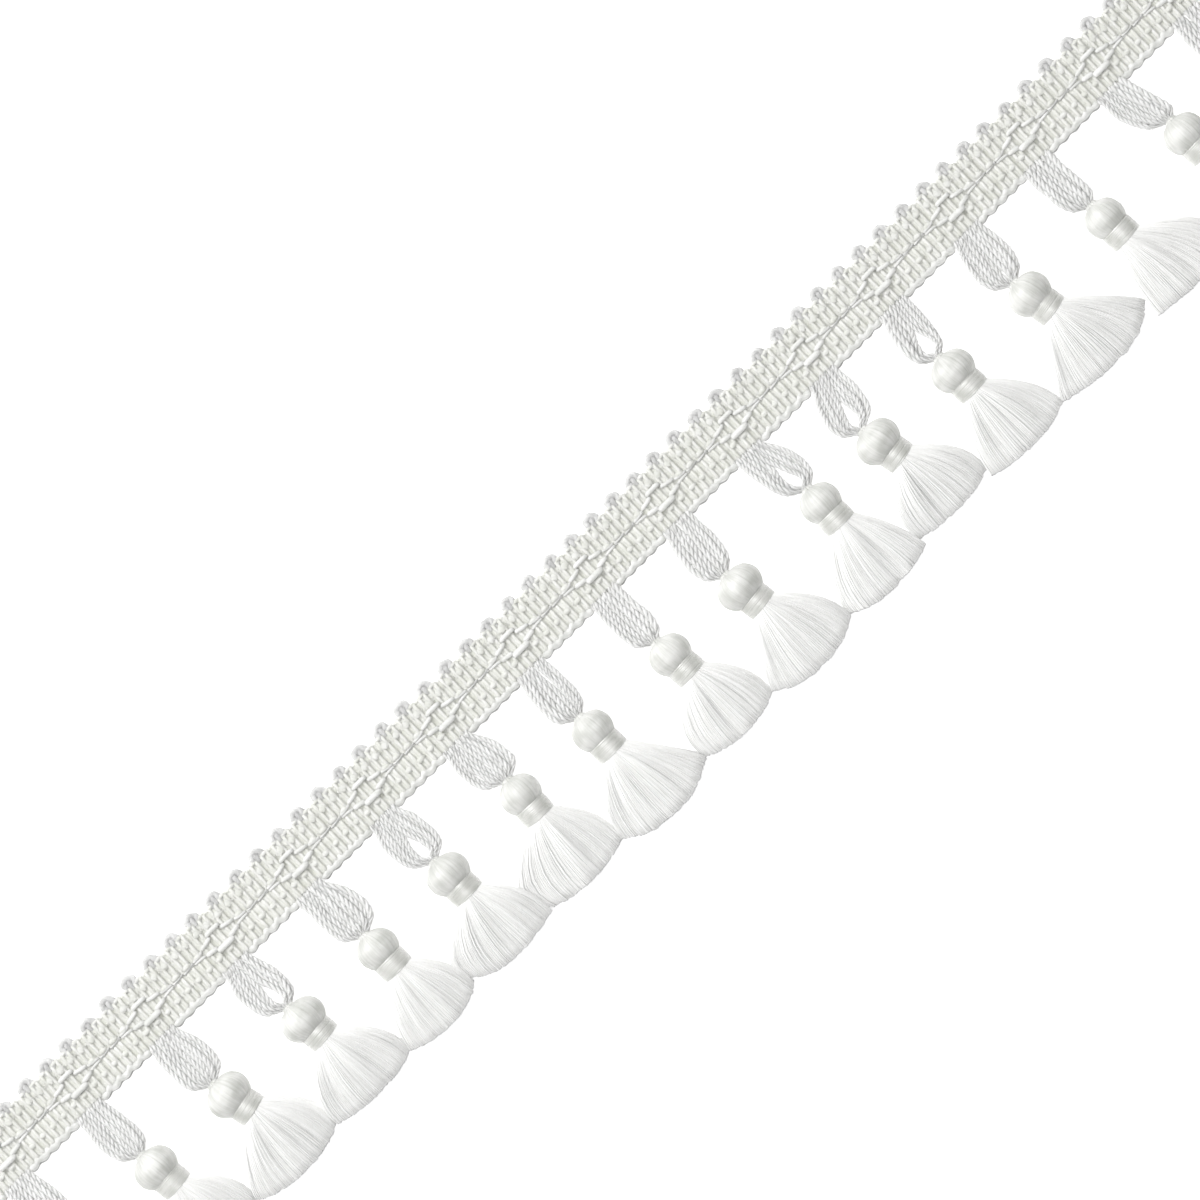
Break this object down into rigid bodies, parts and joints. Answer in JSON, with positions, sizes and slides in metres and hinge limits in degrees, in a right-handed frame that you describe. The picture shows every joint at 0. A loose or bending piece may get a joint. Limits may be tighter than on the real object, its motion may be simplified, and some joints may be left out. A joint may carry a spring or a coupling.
{
  "type": "tassel fringe trim",
  "caption": "Woven gimp heading with picot loops along one edge and a row of bound tassels hung from twisted cord loops along the other, for edging soft furnishings.",
  "frame": {"origin": "on the heading's flat back, on its centre line at the middle of its length, on the surface that the trim lies on", "axes": "+X along the trim, +Y from the tassels to the picot edge, +Z out of the trim's face"},
  "size_m": [0.3822, 0.0595, 0.0105],
  "materials": {
    "heading_yarn": "slightly lustrous off-white rayon yarn, woven into a ribbed gimp",
    "loop_cord": "twisted white rayon cord with a soft sheen",
    "tassel_yarn": "fine straight white rayon filament with a silky sheen",
    "binding_thread": "close-wound white rayon thread with a band of sheen"
  },
  "bodies": {
    "root": {"heading": "heading_yarn", "loop_01": "loop_cord", "loop_02": "loop_cord", "loop_03": "loop_cord", "loop_04": "loop_cord", "loop_05": "loop_cord", "loop_06": "loop_cord", "loop_07": "loop_cord", "loop_08": "loop_cord", "loop_09": "loop_cord", "loop_10": "loop_cord", "loop_11": "loop_cord", "loop_12": "loop_cord", "loop_13": "loop_cord", "loop_14": "loop_cord", "loop_15": "loop_cord", "loop_16": "loop_cord", "loop_17": "loop_cord", "tassel_01": "tassel_yarn", "tassel_02": "tassel_yarn", "tassel_03": "tassel_yarn", "tassel_04": "tassel_yarn", "tassel_05": "tassel_yarn", "tassel_06": "tassel_yarn", "tassel_07": "tassel_yarn", "tassel_08": "tassel_yarn", "tassel_09": "tassel_yarn", "tassel_10": "tassel_yarn", "tassel_11": "tassel_yarn", "tassel_12": "tassel_yarn", "tassel_13": "tassel_yarn", "tassel_14": "tassel_yarn", "tassel_15": "tassel_yarn", "tassel_16": "tassel_yarn", "tassel_17": "tassel_yarn", "binding_01": "binding_thread", "binding_02": "binding_thread", "binding_03": "binding_thread", "binding_04": "binding_thread", "binding_05": "binding_thread", "binding_06": "binding_thread", "binding_07": "binding_thread", "binding_08": "binding_thread", "binding_09": "binding_thread", "binding_10": "binding_thread", "binding_11": "binding_thread", "binding_12": "binding_thread", "binding_13": "binding_thread", "binding_14": "binding_thread", "binding_15": "binding_thread", "binding_16": "binding_thread", "binding_17": "binding_thread"}
  },
  "joints": []
}
